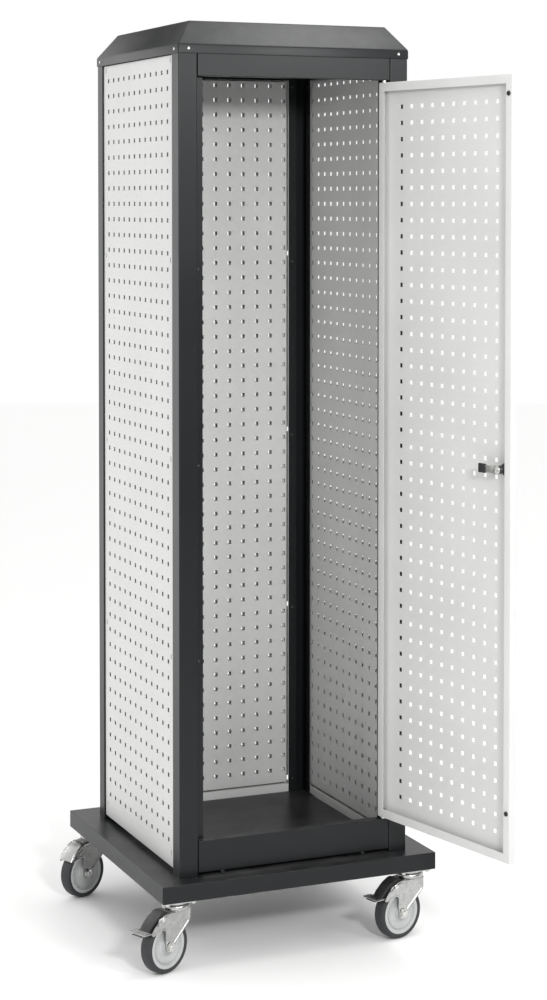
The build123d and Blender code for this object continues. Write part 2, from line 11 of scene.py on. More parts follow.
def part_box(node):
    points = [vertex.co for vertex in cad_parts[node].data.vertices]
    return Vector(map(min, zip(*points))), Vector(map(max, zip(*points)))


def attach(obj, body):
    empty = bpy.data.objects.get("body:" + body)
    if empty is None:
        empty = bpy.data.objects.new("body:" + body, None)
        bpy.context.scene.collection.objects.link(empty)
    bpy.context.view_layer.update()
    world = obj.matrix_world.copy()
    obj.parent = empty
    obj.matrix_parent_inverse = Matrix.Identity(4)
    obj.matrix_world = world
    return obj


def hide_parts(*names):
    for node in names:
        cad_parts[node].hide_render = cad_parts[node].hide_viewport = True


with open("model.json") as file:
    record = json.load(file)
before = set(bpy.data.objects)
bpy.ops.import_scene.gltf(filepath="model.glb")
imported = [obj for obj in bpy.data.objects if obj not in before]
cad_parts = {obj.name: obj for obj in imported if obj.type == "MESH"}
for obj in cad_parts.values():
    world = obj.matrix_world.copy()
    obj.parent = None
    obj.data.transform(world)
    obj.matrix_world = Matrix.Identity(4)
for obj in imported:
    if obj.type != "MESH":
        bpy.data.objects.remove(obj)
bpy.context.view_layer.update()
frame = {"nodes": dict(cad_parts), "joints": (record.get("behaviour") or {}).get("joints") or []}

bl_info = {
    "name": "Perforated Tool Tower",
    "version": (1, 0, 0),
    "blender": (4, 5, 0),
    "location": "3D View > Sidebar > Tool Tower",
    "description": "Builds a tall mobile tool tower of folded and perforated sheet steel",
    "category": "Object",
}

# All lengths are in metres.
JOINTS = {joint["name"]: joint for joint in frame["joints"]}
CORNERS = ("front_left", "front_right", "rear_left", "rear_right")
BRAKED = ("front_left", "front_right")
MM = 0.001
SMOOTH_ANGLE = radians(38)
DUST_ON_PAINT = (0.32, 0.31, 0.29, 1.0)
DUST_ON_RUBBER = (0.26, 0.25, 0.24, 1.0)


# ---------------------------------------------------------------- sizes and finishes
def length(name, description, millimetres):
    """Length property, given in millimetres."""
    return FloatProperty(
        name=name, description=description, default=millimetres * MM, min=0.0,
        precision=4, unit="LENGTH",
    )


def count(name, description, default):
    """Whole number of one or more."""
    return IntProperty(name=name, description=description, default=default, min=1)


def colour(name, description, value):
    """Linear colour."""
    return FloatVectorProperty(
        name=name, description=description, default=value, size=3, min=0.0, max=1.0,
        subtype="COLOR",
    )


def share(name, description, default):
    """Amount from none to full."""
    return FloatProperty(
        name=name, description=description, default=default, min=0.0, max=1.0, subtype="FACTOR",
    )


class TrayProperties(PropertyGroup):
    """Perforated trays and the door."""

    skin: length("Sheet", "Thickness of the perforated sheet", 1.2)
    fold: length("Fold radius", "Outer radius of a folded edge", 1.7)
    lip: length("Lip", "Width of the lip folded in behind a tray", 21.0)
    hole: length("Hole", "Side of a square hole", 10.0)
    pitch: length("Pitch", "Distance between two rows of holes", 38.0)
    first_row: length("First row", "Lowest row of holes above a side tray's edge", 60.0)
    side_columns: count("Side columns", "Columns of holes in a side or back tray", 12)
    side_rows: count("Side rows", "Rows of holes in a side or back tray", 48)
    door_columns: count("Door columns", "Columns of holes in the door", 10)
    door_rows: count("Door rows", "Rows of holes in the door", 44)
    slot_width: length("Slot width", "Width of a hanging slot beside the grid", 4.0)
    slot_height: length("Slot height", "Height of a hanging slot", 12.0)
    slot_low: length("Lowest slot", "Height of the lowest slot above the tray's edge", 33.0)
    slot_step: length("Slot step", "Distance between two slots", 460.0)
    slot_count: count("Slots", "Slots on each side of a tray", 5)
    inner_width: length("Inner width", "Width of an inner tray, inside the lips", 435.0)
    inner_height: length("Inner height", "Height of an inner tray", 1832.0)
    inner_depth: length("Inner depth", "Depth of an inner tray over its folds", 10.0)
    inner_lip: length("Inner lip", "Width of an inner tray's lip", 8.0)
    inner_sink: length("Inner sink", "Outer face of a tray to the face of its inner tray", 18.5)
    door_width: length("Door width", "Width of the door over its folds", 476.0)
    door_depth: length("Door depth", "Depth of the door over its folds", 17.5)
    hinge_in_x: length("Hinge inset", "Hinge pin in from the door's edge", 6.3)
    hinge_in_y: length("Hinge depth", "Hinge pin behind the door's face", 6.1)


class RoofProperties(PropertyGroup):
    """Hipped roof."""

    sheet: length("Sheet", "Thickness of the roof sheet", 1.5)
    band: length("Band", "Height of the band round the eave", 20.4)
    run: length("Slope run", "Width of the slope, seen from above", 42.0)
    fold: length("Fold radius", "Outer radius of the folded edges", 2.6)


class LockProperties(PropertyGroup):
    """Cam lock, sized from the door's outer face inwards."""

    flange_radius: length("Flange radius", "Radius of the outer flange", 14.0)
    housing_radius: length("Housing radius", "Radius of the threaded housing", 9.5)
    housing_end: length("Housing end", "Inner end of the housing", 26.2)
    nut_flats: length("Nut flats", "Nut across its flats", 25.0)
    knob_radius: length("Knob radius", "Radius of the knob's disc", 12.5)
    spindle_radius: length("Spindle radius", "Radius of the turning spindle", 5.0)
    tongue_length: length("Tongue length", "Axis to the end of the tongue", 58.0)
    tongue_sheet: length("Tongue sheet", "Thickness of the tongue", 3.0)


class CasterProperties(PropertyGroup):
    """Swivel casters."""

    wheel_radius: length("Wheel radius", "Radius over the tyre", 62.5)
    rim_radius: length("Rim radius", "Radius of the wheel centre", 51.0)
    fork_half: length("Fork half width", "Half the width over the fork's legs", 21.5)
    fork_sheet: length("Fork sheet", "Thickness of the pressed fork", 3.0)
    crown: length("Crown", "Height of the fork's crown", 144.0)
    boss: length("Leg end", "Radius of a leg's round end", 14.0)
    trail: length("Trail", "Wheel axle behind the swivel axis", 38.0)


class FinishProperties(PropertyGroup):
    """Colours, and the amount of edge wear with its painted edge highlight."""

    panel_colour: colour("Panel", "Light grey powder coat", (0.64, 0.645, 0.635))
    frame_colour: colour("Frame", "Anthracite powder coat", (0.0105, 0.0115, 0.0125))
    zinc_colour: colour("Zinc", "Bright zinc plate", (0.66, 0.66, 0.64))
    # Darker than the zinc colour: painted shade that the platform casts on the casters.
    shaded_caster_colour: colour("Casters", "Zinc plate of the casters", (0.46, 0.46, 0.455))
    dark_steel_colour: colour("Dark steel", "Blackened steel", (0.07, 0.07, 0.072))
    plastic_colour: colour("Plastic", "Black moulded plastic", (0.012, 0.012, 0.013))
    rubber_colour: colour("Rubber", "Black rubber buffers", (0.014, 0.014, 0.014))
    wheel_colour: colour("Wheel centre", "Grey moulded wheel centre", (0.44, 0.45, 0.45))
    tyre_colour: colour("Tyre", "Dark grey rubber tyre", (0.022, 0.023, 0.025))
    dust: share("Dust", "Dust on faces that look up", 0.12)
    # The edge mask is wear, and on the dark frame also a painted highlight along the edges.
    edge_wear_and_highlight: share("Wear", "Rubbed paint along the edges", 0.16)


# ---------------------------------------------------------------- shader groups
def feed(tree, socket, value):
    """Link a socket to an input, or set the input's own value."""
    if isinstance(value, bpy.types.NodeSocket):
        tree.links.new(value, socket)
    else:
        socket.default_value = value


def place_node(tree, kind, settings=None, **inputs):
    """Add a shader node; settings are its own values, inputs its sockets' values or links."""
    node = tree.nodes.new("ShaderNode" + kind)
    for name, value in (settings or {}).items():
        setattr(node, name, value)
    for name, value in inputs.items():
        feed(tree, node.inputs[name.replace("_", " ")], value)
    return node


def mix_colour(tree, factor, first, second):
    """Mix of two colours, each a colour or a socket."""
    node = place_node(tree, "Mix", {"data_type": "RGBA"})
    for index, value in ((0, factor), (6, first), (7, second)):
        feed(tree, node.inputs[index], value)
    return node.outputs[2]


def ranged(tree, value, low, high, to_low=0.0, to_high=1.0):
    """Value moved from one range to another, kept inside it."""
    node = place_node(tree, "MapRange", Value=value)
    for index, number in enumerate((low, high, to_low, to_high)):
        node.inputs[index + 1].default_value = number
    return node.outputs[0]


def times(tree, first, second):
    """Product of two values."""
    node = place_node(tree, "Math", {"operation": "MULTIPLY"})
    for socket, value in zip(node.inputs, (first, second)):
        feed(tree, socket, value)
    return node.outputs[0]


def start_group(name, inputs, outputs):
    """New shader group with named inputs (name, kind, default) and outputs (name, kind)."""
    tree = bpy.data.node_groups.new(name, "ShaderNodeTree")
    for label, kind, default in inputs:
        socket = tree.interface.new_socket(
            name=label, in_out="INPUT", socket_type="NodeSocket" + kind)
        if default is not None:
            socket.default_value = default
    for label, kind in outputs:
        tree.interface.new_socket(name=label, in_out="OUTPUT", socket_type="NodeSocket" + kind)
    return tree, tree.nodes.new("NodeGroupInput"), tree.nodes.new("NodeGroupOutput")


def coat_group():
    """Powder coat: a fine orange peel and a slow change of tone."""
    tree, given, out = start_group(
        "PowderCoat",
        [("Vector", "Vector", None), ("Peel scale", "Float", 420.0)],
        [("Height", "Float"), ("Tone", "Float")],
    )
    vector = given.outputs["Vector"]
    peel = place_node(
        tree, "TexNoise", Vector=vector, Scale=given.outputs["Peel scale"], Detail=2.0)
    slow = place_node(tree, "TexNoise", Vector=vector, Scale=3.5, Detail=3.0, Roughness=0.55)
    tree.links.new(peel.outputs[0], out.inputs["Height"])
    tree.links.new(ranged(tree, slow.outputs[0], 0.3, 0.7), out.inputs["Tone"])
    return tree


def edge_group():
    """Edges of a sheet: a softened normal and a mask of rubbed paint, which also paints light lines
    as edge highlights.
    """
    tree, given, out = start_group(
        "SheetEdges",
        [("Vector", "Vector", None), ("Radius", "Float", 0.001), ("Amount", "Float", 0.2)],
        [("Normal", "Vector"), ("Mask", "Float")],
    )
    soft = place_node(tree, "Bevel", {"samples": 4}, Radius=given.outputs["Radius"])
    flat = place_node(tree, "NewGeometry")
    dot = place_node(tree, "VectorMath", {"operation": "DOT_PRODUCT"})
    tree.links.new(soft.outputs[0], dot.inputs[0])
    tree.links.new(flat.outputs["Normal"], dot.inputs[1])
    edge = ranged(tree, dot.outputs["Value"], 0.995, 0.88)
    edge_patches_noise = place_node(
        tree, "TexNoise", Vector=given.outputs["Vector"], Scale=55.0, Detail=4.0, Roughness=0.65)
    patches = ranged(tree, edge_patches_noise.outputs[0], 0.42, 0.66)
    mask = times(tree, times(tree, edge, patches), given.outputs["Amount"])
    tree.links.new(soft.outputs[0], out.inputs["Normal"])
    tree.links.new(mask, out.inputs["Mask"])
    return tree


def dust_group():
    """Dust that settles in patches on faces that look up."""
    tree, given, out = start_group(
        "SettledDust",
        [("Vector", "Vector", None), ("Amount", "Float", 0.2)],
        [("Mask", "Float")],
    )
    face = place_node(tree, "NewGeometry")
    parts = place_node(tree, "SeparateXYZ", Vector=face.outputs["Normal"])
    up = ranged(tree, parts.outputs["Z"], 0.25, 0.95)
    noise = place_node(
        tree, "TexNoise", Vector=given.outputs["Vector"], Scale=14.0, Detail=6.0, Roughness=0.7)
    patches = ranged(tree, noise.outputs[0], 0.35, 0.75)
    mask = times(tree, times(tree, up, patches), given.outputs["Amount"])
    tree.links.new(mask, out.inputs["Mask"])
    return tree


def plate_group():
    """Plated or blackened steel: cloudy patches and fine drawn lines."""
    tree, given, out = start_group(
        "PlatedSteel",
        [("Vector", "Vector", None), ("Line scale", "Float", 900.0)],
        [("Tone", "Float"), ("Height", "Float")],
    )
    vector = given.outputs["Vector"]
    cloud = place_node(tree, "TexNoise", Vector=vector, Scale=95.0, Detail=4.0, Roughness=0.6)
    stretched = place_node(tree, "Mapping", Vector=vector, Scale=(1.0, 1.0, 0.06))
    lines = place_node(
        tree, "TexNoise", Vector=stretched.outputs[0], Scale=given.outputs["Line scale"],
        Detail=2.0)
    tree.links.new(ranged(tree, cloud.outputs[0], 0.34, 0.66), out.inputs["Tone"])
    tree.links.new(lines.outputs[0], out.inputs["Height"])
    return tree


def grain_group():
    """Moulded grain of plastic and rubber with scuffed patches."""
    tree, given, out = start_group(
        "MouldedGrain",
        [("Vector", "Vector", None), ("Grain scale", "Float", 1400.0)],
        [("Height", "Float"), ("Scuff", "Float")],
    )
    vector = given.outputs["Vector"]
    cells = place_node(tree, "TexVoronoi", Vector=vector, Scale=given.outputs["Grain scale"])
    scuff = place_node(tree, "TexNoise", Vector=vector, Scale=60.0, Detail=5.0, Roughness=0.7)
    tree.links.new(cells.outputs["Distance"], out.inputs["Height"])
    tree.links.new(ranged(tree, scuff.outputs[0], 0.40, 0.72), out.inputs["Scuff"])
    return tree


GROUP_MAKERS = {
    "PowderCoat": coat_group,
    "SheetEdges": edge_group,
    "SettledDust": dust_group,
    "PlatedSteel": plate_group,
    "MouldedGrain": grain_group,
}


def use_group(tree, name, **inputs):
    """Place a shared group, made the first time that it is asked for."""
    made = bpy.data.node_groups.get(name) or GROUP_MAKERS[name]()
    node = tree.nodes.new("ShaderNodeGroup")
    node.node_tree = made
    for label, value in inputs.items():
        feed(tree, node.inputs[label.replace("_", " ")], value)
    return node.outputs


# ---------------------------------------------------------------- materials
def solid(value, gain=1.0):
    """Colour with alpha, brightened or darkened by a gain."""
    return (*(min(1.0, channel * gain) for channel in value), 1.0)


def start_material(name):
    """New material: its tree, its shader and the object's own coordinates."""
    material = bpy.data.materials.new("Finish_" + name)
    material.use_nodes = True
    tree = material.node_tree
    shader = tree.nodes["Principled BSDF"]
    vector = tree.nodes.new("ShaderNodeTexCoord").outputs["Object"]
    return material, tree, shader, vector


def link_bump(tree, shader, height, distance, strength, normal=None):
    """Feed a height into the shader's normal."""
    bump = place_node(tree, "Bump", Height=height, Distance=distance, Strength=strength)
    if normal is not None:
        tree.links.new(normal, bump.inputs["Normal"])
    tree.links.new(bump.outputs[0], shader.inputs["Normal"])


def powder_coat(name, base, worn_and_lit_edge, roughness, dust, edge_wear_and_highlight, specular):
    """Satin powder coat on folded steel sheet."""
    material, tree, shader, vector = start_material(name)
    coat = use_group(tree, "PowderCoat", Vector=vector)
    edges = use_group(tree, "SheetEdges", Vector=vector, Radius=0.0012, Amount=edge_wear_and_highlight)
    settled = use_group(tree, "SettledDust", Vector=vector, Amount=dust)
    paint = mix_colour(tree, coat["Tone"], solid(base, 0.96), solid(base, 1.03))
    # Edge mask: rubbed paint, and on the dark frame also a painted highlight along the edges.
    paint = mix_colour(tree, edges["Mask"], paint, solid(worn_and_lit_edge))
    paint = mix_colour(tree, settled["Mask"], paint, DUST_ON_PAINT)
    tree.links.new(paint, shader.inputs["Base Color"])
    gloss = ranged(tree, coat["Tone"], 0.0, 1.0, roughness - 0.03, roughness + 0.03)
    tree.links.new(gloss, shader.inputs["Roughness"])
    shader.inputs["Specular IOR Level"].default_value = specular
    link_bump(tree, shader, coat["Height"], 0.00012, 0.35, edges["Normal"])
    return material


def plated(name, base, roughness, contrast, metallic=1.0):
    """Plated or blackened steel."""
    material, tree, shader, vector = start_material(name)
    plate = use_group(tree, "PlatedSteel", Vector=vector)
    edges = use_group(tree, "SheetEdges", Vector=vector, Radius=0.0006, Amount=0.5)
    tone = mix_colour(tree, plate["Tone"], solid(base, 1 - contrast), solid(base, 1 + contrast))
    # Edges painted lighter: rubbed plate and a painted highlight along the edges.
    tone = mix_colour(tree, edges["Mask"], tone, solid(base, 1.35))
    tree.links.new(tone, shader.inputs["Base Color"])
    gloss = ranged(tree, plate["Tone"], 0.0, 1.0, roughness + 0.09, roughness - 0.05)
    tree.links.new(gloss, shader.inputs["Roughness"])
    shader.inputs["Metallic"].default_value = metallic
    link_bump(tree, shader, plate["Height"], 0.00006, 0.25, edges["Normal"])
    return material


def moulded(name, base, roughness, grain, scuffed, depth=0.00010):
    """Moulded plastic or rubber."""
    material, tree, shader, vector = start_material(name)
    skin = use_group(tree, "MouldedGrain", Vector=vector, Grain_scale=grain)
    settled = use_group(tree, "SettledDust", Vector=vector, Amount=0.25)
    worn = times(tree, skin["Scuff"], scuffed)
    tone = mix_colour(tree, worn, solid(base), solid(base, 1.9))
    tone = mix_colour(tree, settled["Mask"], tone, DUST_ON_RUBBER)
    tree.links.new(tone, shader.inputs["Base Color"])
    gloss = ranged(tree, skin["Scuff"], 0.0, 1.0, roughness, min(1.0, roughness + 0.16))
    tree.links.new(gloss, shader.inputs["Roughness"])
    link_bump(tree, shader, skin["Height"], depth, 0.4)
    return material


def finish_maker(name):
    """Make the finish of one material slot."""
    look = bpy.context.scene.tower_finish
    makers = {
        "panel_paint": lambda: powder_coat(
            name, look.panel_colour, (0.50, 0.50, 0.49), 0.46, look.dust * 0.6, look.edge_wear_and_highlight * 0.4,
            0.20),
        "frame_paint": lambda: powder_coat(
            name, look.frame_colour, (0.11, 0.11, 0.12), 0.34, look.dust, look.edge_wear_and_highlight, 0.24),
        "zinc": lambda: plated(name, look.zinc_colour, 0.26, 0.10),
        # Caster zinc is darker than the other zinc to paint the shade under the platform.
        "caster_steel": lambda: plated(name, look.shaded_caster_colour, 0.27, 0.07),
        "dark_steel": lambda: plated(name, look.dark_steel_colour, 0.38, 0.20, 0.85),
        "black_plastic": lambda: moulded(name, look.plastic_colour, 0.42, 1500.0, 0.25),
        "buffer_rubber": lambda: moulded(name, look.rubber_colour, 0.62, 1800.0, 0.3),
        "wheel_centre": lambda: moulded(name, look.wheel_colour, 0.40, 1100.0, 0.10, 0.00005),
        "tyre_rubber": lambda: moulded(name, look.tyre_colour, 0.58, 700.0, 0.45, 0.00016),
    }
    return makers[name]()


def finish(name):
    """Material of a slot, made once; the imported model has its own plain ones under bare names."""
    return bpy.data.materials.get("Finish_" + name) or finish_maker(name)


# ---------------------------------------------------------------- mesh helpers
def add_part(target, part, place=None):
    """Move a finished part into another mesh, at its place."""
    mesh = bpy.data.meshes.new("part")
    part.to_mesh(mesh)
    part.free()
    if place is not None:
        mesh.transform(place)
    target.from_mesh(mesh)
    bpy.data.meshes.remove(mesh)


def along(axis, origin):
    """Matrix that stands a part, modelled on Z, along an axis."""
    turn = Vector(axis).to_track_quat("Z", "Y").to_matrix().to_4x4()
    return Matrix.Translation(Vector(origin)) @ turn


def round_edges(mesh, edges, radius, segments=2):
    """Bevel some edges with a round profile."""
    bmesh.ops.bevel(
        mesh, geom=list(edges), offset=radius, offset_type="OFFSET", segments=segments,
        profile=0.5, affect="EDGES", material=-1, clamp_overlap=True)


def round_corners(mesh, verts, radius, segments=4):
    """Round some corners of a flat outline."""
    bmesh.ops.bevel(
        mesh, geom=list(verts), offset=radius, offset_type="OFFSET", segments=segments,
        profile=0.5, affect="VERTICES", material=-1, clamp_overlap=True)


def sharp_edges(mesh, least=0.6):
    """Edges between two faces that meet at more than an angle."""
    return [e for e in mesh.edges if e.is_manifold and e.calc_face_angle(0.0) > least]


def turned(points, steps=32):
    """Round part on Z from (radius, height) points in millimetres, listed from low to high.

    A profile that doesn't end on the axis is closed into a ring.
    """
    mesh = bmesh.new()
    verts = [mesh.verts.new((radius * MM, 0.0, height * MM)) for radius, height in points]
    edges = [mesh.edges.new(pair) for pair in zip(verts, verts[1:])]
    if points[0][0] > 0 or points[-1][0] > 0:
        edges.append(mesh.edges.new((verts[-1], verts[0])))
    bmesh.ops.spin(
        mesh, geom=verts + edges, cent=(0, 0, 0), axis=(0, 0, 1), angle=2 * pi, steps=steps,
        use_merge=True, use_duplicate=False)
    bmesh.ops.remove_doubles(mesh, verts=mesh.verts, dist=1e-6)
    bmesh.ops.recalc_face_normals(mesh, faces=mesh.faces)
    return mesh


def outline(points, corner_radii=()):
    """Flat face in XZ from points in millimetres; corner_radii are (point number, radius)."""
    mesh = bmesh.new()
    verts = [mesh.verts.new((x * MM, 0.0, z * MM)) for x, z in points]
    mesh.faces.new(verts)
    for number, radius in corner_radii:
        round_corners(mesh, [verts[number]], radius * MM)
    return mesh


def thickened(mesh, low, high, edge_radius=0.0, segments=2):
    """Give a flat XZ outline its thickness, from Y low to Y high in millimetres."""
    bmesh.ops.translate(mesh, verts=mesh.verts, vec=(0, low * MM, 0))
    made = bmesh.ops.extrude_face_region(mesh, geom=mesh.faces[:])["geom"]
    moved = [g for g in made if isinstance(g, bmesh.types.BMVert)]
    bmesh.ops.translate(mesh, verts=moved, vec=(0, (high - low) * MM, 0))
    bmesh.ops.recalc_face_normals(mesh, faces=mesh.faces)
    if edge_radius:
        round_edges(mesh, sharp_edges(mesh), edge_radius * MM, segments)
    return mesh


def bar(low, high, edge_radius, segments=2):
    """Block between two corners in millimetres with rounded edges."""
    mesh = bmesh.new()
    bmesh.ops.create_cube(mesh, size=MM)
    bmesh.ops.scale(mesh, verts=mesh.verts, vec=[h - l for l, h in zip(low, high)])
    centre = [(h + l) / 2 * MM for l, h in zip(low, high)]
    bmesh.ops.translate(mesh, verts=mesh.verts, vec=centre)
    round_edges(mesh, mesh.edges, edge_radius * MM, segments)
    return mesh


def hexagon(flats, low, high, chamfer=0.8):
    """Hexagonal head or nut on Z with chamfered corners, in millimetres."""
    mesh = bmesh.new()
    radius = flats * 1.1547 / 2 * MM
    bmesh.ops.create_cone(
        mesh, cap_ends=True, segments=6, radius1=radius, radius2=radius, depth=(high - low) * MM)
    bmesh.ops.translate(mesh, verts=mesh.verts, vec=(0, 0, (low + high) / 2 * MM))
    rims = [e for e in mesh.edges if abs(e.verts[0].co.z - e.verts[1].co.z) < 1e-7]
    round_edges(mesh, rims, chamfer * MM, 2)
    return mesh


def make_piece(name, mesh, body, slot, replaced=(), sheet=0.0, even=True, place=None):
    """Turn a mesh into a piece that rides on a body.

    place moves the mesh from where it was modelled, and sheet gives a skin its thickness.
    """
    if place is not None:
        mesh.transform(place)
    data = bpy.data.meshes.new(name)
    mesh.to_mesh(data)
    mesh.free()
    piece = bpy.data.objects.new(name, data)
    bpy.context.scene.collection.objects.link(piece)
    if sheet:
        solidify = piece.modifiers.new("Sheet", "SOLIDIFY")
        solidify.thickness = sheet
        solidify.offset = -1.0
        solidify.use_even_offset = even
        ready = piece.evaluated_get(bpy.context.evaluated_depsgraph_get())
        data = bpy.data.meshes.new_from_object(ready)
        data.name = name
        piece.modifiers.clear()
        piece.data = data
    data.polygons.foreach_set("use_smooth", [True] * len(data.polygons))
    data.set_sharp_from_angle(angle=SMOOTH_ANGLE)
    data.materials.clear()
    data.materials.append(finish(slot))
    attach(piece, body)
    if replaced:
        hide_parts(*replaced)
    return piece


def keep_nodes(slot, *names):
    """Give CAD nodes that stay in view their finish."""
    for name in names:
        node = frame["nodes"][name]
        if not node.material_slots:
            node.data.materials.append(None)
        for place in node.material_slots:
            place.material = finish(slot)


def islands(name):
    """Boxes of the separate solids in a CAD node, as (low, high) corners."""
    mesh = bmesh.new()
    mesh.from_mesh(frame["nodes"][name].data)
    bmesh.ops.remove_doubles(mesh, verts=mesh.verts, dist=1e-6)
    waiting, boxes = set(mesh.verts), []
    while waiting:
        queue, found = [waiting.pop()], []
        while queue:
            vert = queue.pop()
            found.append(vert.co.copy())
            for edge in vert.link_edges:
                other = edge.other_vert(vert)
                if other in waiting:
                    waiting.remove(other)
                    queue.append(other)
        low = Vector([min(point[i] for point in found) for i in range(3)])
        high = Vector([max(point[i] for point in found) for i in range(3)])
        boxes.append((low, high))
    mesh.free()
    return sorted(boxes, key=lambda box: [round(v, 4) for v in box[0]])


def tower_centre():
    """Middle of the tower seen from above; the open door and the casters don't count."""
    low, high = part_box("top_plate")
    return (low + high) / 2


def screw_heads(node, profile, steps, facing):
    """Heads of a node's screws; facing(axis, spot) says which way along its axis one looks."""
    mesh = bmesh.new()
    for low, high in islands(node):
        spans = [h - l for l, h in zip(low, high)]
        axis = spans.index(min(spans))
        spot = (low + high) / 2
        out = Vector((0, 0, 0))
        out[axis] = facing(axis, spot)
        spot[axis] = low[axis] if out[axis] > 0 else high[axis]
        add_part(mesh, turned(profile, steps), along(out, spot))
    return mesh


def standing(low, high):
    """Matrix that stands a bolt on the underside of its box."""
    return Matrix.Translation(((low.x + high.x) / 2, (low.y + high.y) / 2, low.z))


# ---------------------------------------------------------------- trays
def cut_lines(centres, width):
    """Both edges of every opening, as positions across the sheet."""
    return [c + side * width / 2 for c in centres for side in (-1, 1)]


def inside_any(value, centres, width):
    """Whether a position lies in one of the openings."""
    return any(abs(value - c) < width / 2 for c in centres)


def perforated_tray(width, height, depth, columns, rows, first_row, slots=(), lip=None):
    """Folded tray with its perforated face on Y = 0 and its lips at Y = depth."""
    sizes = bpy.context.scene.tower_trays
    lip = lip or sizes.lip
    half = width / 2
    across = [(i - (columns - 1) / 2) * sizes.pitch for i in range(columns)]
    upward = [first_row + i * sizes.pitch for i in range(rows)]
    beside = [side * (across[-1] + sizes.pitch / 2) for side in (-1, 1)] if slots else []
    mesh = bmesh.new()
    corners = ((-half, 0), (half, 0), (half, height), (-half, height))
    mesh.faces.new([mesh.verts.new((x, 0, z)) for x, z in corners])
    cuts = [((x, 0, 0), (1, 0, 0)) for x in
            cut_lines(across, sizes.hole) + cut_lines(beside, sizes.slot_width)]
    cuts += [((0, 0, z), (0, 0, 1)) for z in
             cut_lines(upward, sizes.hole) + cut_lines(slots, sizes.slot_height)]
    for point, normal in cuts:
        everything = mesh.verts[:] + mesh.edges[:] + mesh.faces[:]
        bmesh.ops.bisect_plane(mesh, geom=everything, dist=1e-7, plane_co=point, plane_no=normal)
    gone = []
    for face in mesh.faces:
        x, _, z = face.calc_center_median()
        in_grid = inside_any(x, across, sizes.hole) and inside_any(z, upward, sizes.hole)
        in_slot = (inside_any(x, beside, sizes.slot_width)
                   and inside_any(z, slots, sizes.slot_height))
        if in_grid or in_slot:
            gone.append(face)
    bmesh.ops.delete(mesh, geom=gone, context="FACES")

    def on_outline(vert):
        return min(abs(abs(vert.co.x) - half), abs(vert.co.z), abs(vert.co.z - height)) < 1e-6

    rim = [e for e in mesh.edges if e.is_boundary and all(on_outline(v) for v in e.verts)]
    for fold in ("wall", "lip"):
        made = bmesh.ops.extrude_edge_only(mesh, edges=rim)["geom"]
        new = {g for g in made if isinstance(g, bmesh.types.BMVert)}
        rim = [g for g in made if isinstance(g, bmesh.types.BMEdge) and set(g.verts) <= new]
        if fold == "wall":
            bmesh.ops.translate(mesh, verts=list(new), vec=(0, depth, 0))
        for vert in new if fold == "lip" else ():
            vert.co.x = max(-half + lip, min(half - lip, vert.co.x))
            vert.co.z = max(lip, min(height - lip, vert.co.z))
    bmesh.ops.remove_doubles(mesh, verts=list(new), dist=1e-5)
    bmesh.ops.dissolve_degenerate(mesh, edges=mesh.edges, dist=1e-6)
    bmesh.ops.recalc_face_normals(mesh, faces=mesh.faces)
    front = next(
        f for f in mesh.faces if abs(f.normal.y) > 0.9 and f.calc_center_median().y < 1e-6)
    if front.normal.y > 0:
        bmesh.ops.reverse_faces(mesh, faces=mesh.faces)
    round_edges(mesh, sharp_edges(mesh, 1.0), sizes.fold, 3)
    return mesh


def door_frame():
    """Matrix from the shut door's place to where the door stands, and the hinge's point."""
    hinge = Vector(JOINTS["door_hinge"]["pos_m"])
    swing = Matrix.Rotation(radians(-JOINTS["door_hinge"]["range_deg"][0]), 4, "Z")
    return Matrix.Translation(hinge) @ swing @ Matrix.Translation(-hinge), hinge


class TOWER_OT_panels(Operator):
    """Make the two side trays and the back tray"""

    bl_idname = "tower.panels"
    bl_label = "Perforated Trays"

    def execute(self, context):
        sizes = context.scene.tower_trays
        slots = [sizes.slot_low + i * sizes.slot_step for i in range(sizes.slot_count)]
        for name, turn in (("side_panel_left", -90), ("side_panel_right", 90), ("back_panel", 180)):
            low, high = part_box(name)
            flat, deep = (0, 1) if turn == 180 else (1, 0)
            mesh = perforated_tray(
                high[flat] - low[flat], high.z - low.z, high[deep] - low[deep],
                sizes.side_columns, sizes.side_rows, sizes.first_row, slots)
            place = (low + high) / 2
            place[deep] = low[deep] if turn == -90 else high[deep]
            place.z = low.z
            make_piece(
                "Tray_" + name, mesh, "tower", "panel_paint", [name], sizes.skin,
                place=Matrix.Translation(place) @ Matrix.Rotation(radians(turn), 4, "Z"))

            inside = perforated_tray(
                sizes.inner_width, sizes.inner_height, sizes.inner_depth,
                sizes.side_columns, sizes.side_rows,
                sizes.first_row - (high.z - low.z - sizes.inner_height) / 2,
                lip=sizes.inner_lip)
            spot = (low + high) / 2
            sink = sizes.inner_sink
            spot[deep] = low[deep] + sink if turn == -90 else high[deep] - sink
            spot.z = (low.z + high.z - sizes.inner_height) / 2
            inside.transform(
                Matrix.Translation(spot) @ Matrix.Rotation(radians(turn + 180), 4, "Z"))
            make_piece("Inner_" + name, inside, "tower", "panel_paint", sheet=sizes.skin)
        return {"FINISHED"}


